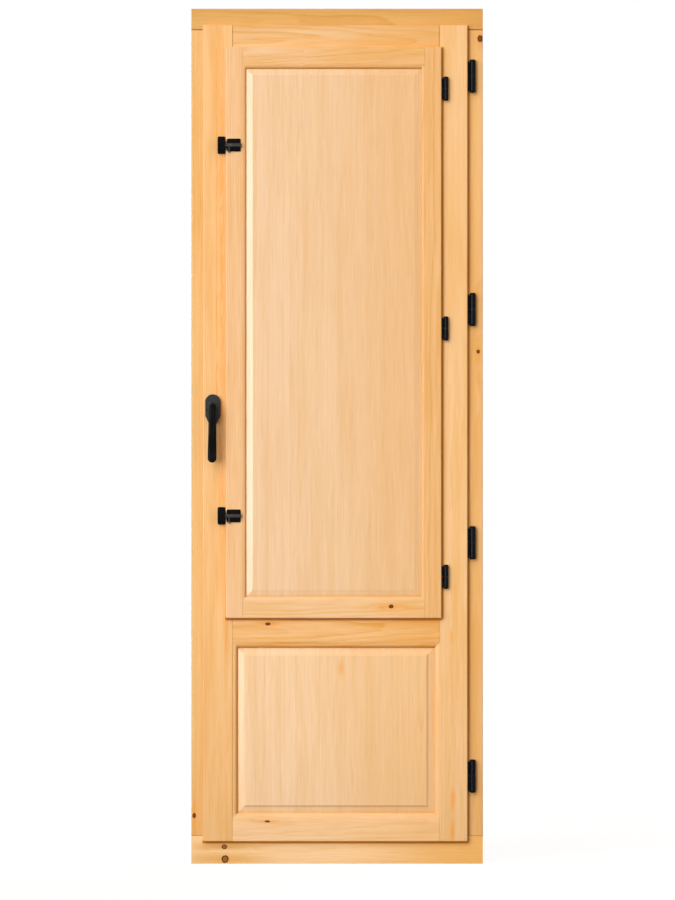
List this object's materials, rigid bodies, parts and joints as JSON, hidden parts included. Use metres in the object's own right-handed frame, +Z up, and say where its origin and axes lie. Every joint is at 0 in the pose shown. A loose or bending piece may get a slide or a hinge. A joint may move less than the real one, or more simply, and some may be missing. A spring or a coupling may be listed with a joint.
{
  "type": "balcony door",
  "caption": "Wooden balcony door in its frame, with a framed inner shutter over the glazed part, a raised lower panel, black barrel hinges, slide bolts and a lever handle.",
  "frame": {"origin": "middle of the underside of the frame's sill, half way through the frame's depth", "axes": "+Z up, +X to the right as seen from the room (the hinge side), +Y to the outside; the room side faces -Y"},
  "size_m": [0.75, 0.1286, 2.2],
  "materials": {
    "frame_pine": "clear varnished pine, satin",
    "leaf_pine": "clear varnished pine, satin",
    "shutter_pine": "clear varnished pine, satin",
    "black_metal": "satin black",
    "steel": "zinc plated",
    "glass": "clear float glass",
    "spacer": "mill",
    "seal": "matt brown"
  },
  "bodies": {
    "frame": {"frame_head": "frame_pine", "frame_left_jamb": "frame_pine", "frame_right_jamb": "frame_pine", "frame_sill": "frame_pine", "weather_seal": "seal", "upper_rod_keeper": "steel", "lower_rod_keeper": "steel", "leaf_hinge_pins": "steel", "leaf_hinge_1_frame_half": "black_metal", "leaf_hinge_2_frame_half": "black_metal", "leaf_hinge_3_frame_half": "black_metal", "leaf_hinge_4_frame_half": "black_metal"},
    "leaf": {"leaf_lock_stile": "leaf_pine", "leaf_hinge_stile": "leaf_pine", "leaf_top_rail": "leaf_pine", "leaf_middle_rail": "leaf_pine", "leaf_bottom_rail": "leaf_pine", "lower_panel": "leaf_pine", "weather_bar": "leaf_pine", "outer_pane": "glass", "inner_pane": "glass", "pane_spacer": "spacer", "glazing_bead_left": "leaf_pine", "glazing_bead_top": "leaf_pine", "glazing_bead_right": "leaf_pine", "glazing_bead_bottom": "leaf_pine", "leaf_hinge_1_leaf_half": "black_metal", "leaf_hinge_2_leaf_half": "black_metal", "leaf_hinge_3_leaf_half": "black_metal", "leaf_hinge_4_leaf_half": "black_metal", "shutter_hinge_1_leaf_half": "black_metal", "shutter_hinge_2_leaf_half": "black_metal", "shutter_hinge_3_leaf_half": "black_metal", "shutter_hinge_pins": "steel", "espagnolette_case": "steel", "espagnolette_faceplate": "steel", "handle_rose_base": "black_metal", "handle_rose_cover": "black_metal", "upper_latch_catch": "black_metal", "lower_latch_catch": "black_metal", "catch_screws": "black_metal"},
    "shutter": {"shutter_left_stile": "shutter_pine", "shutter_right_stile": "shutter_pine", "shutter_top_rail": "shutter_pine", "shutter_bottom_rail": "shutter_pine", "shutter_panel": "shutter_pine", "shutter_hinge_1_shutter_half": "black_metal", "shutter_hinge_2_shutter_half": "black_metal", "shutter_hinge_3_shutter_half": "black_metal", "upper_latch_base": "black_metal", "lower_latch_base": "black_metal", "latch_base_screws": "black_metal"},
    "handle": {"handle_lever": "black_metal", "handle_spindle": "steel", "espagnolette_pinion": "steel"},
    "upper_rod": {"upper_rod": "steel"},
    "lower_rod": {"lower_rod": "steel"},
    "upper_bolt": {"upper_latch_bolt": "black_metal"},
    "lower_bolt": {"lower_latch_bolt": "black_metal"}
  },
  "joints": [
    {"name": "leaf_swing", "type": "hinge", "parent": "frame", "child": "leaf", "pos_m": [0.3484, -0.0436, 0.226], "axis": [0, 0, 1], "range_deg": [0, 100]},
    {"name": "shutter_swing", "type": "hinge", "parent": "leaf", "child": "shutter", "pos_m": [0.2795, -0.0573, 0.7388], "axis": [0, 0, 1], "range_deg": [0, 120]},
    {"name": "handle_turn", "type": "hinge", "parent": "leaf", "child": "handle", "pos_m": [-0.3194, -0.05, 1.171], "axis": [0, -1, 0], "range_deg": [0, 90]},
    {"name": "upper_rod_slide", "type": "slide", "parent": "leaf", "child": "upper_rod", "axis": [0, 0, 1], "range_m": [-0.012, 0]},
    {"name": "lower_rod_slide", "type": "slide", "parent": "leaf", "child": "lower_rod", "axis": [0, 0, 1], "range_m": [0, 0.012]},
    {"name": "upper_bolt_slide", "type": "slide", "parent": "shutter", "child": "upper_bolt", "axis": [1, 0, 0], "range_m": [0, 0.009]},
    {"name": "lower_bolt_slide", "type": "slide", "parent": "shutter", "child": "lower_bolt", "axis": [1, 0, 0], "range_m": [0, 0.009]}
  ],
  "couplings": [
    {"joint": "upper_rod_slide", "follows": "handle_turn", "m_per_rad": -0.0075},
    {"joint": "lower_rod_slide", "follows": "handle_turn", "m_per_rad": 0.0075}
  ]
}
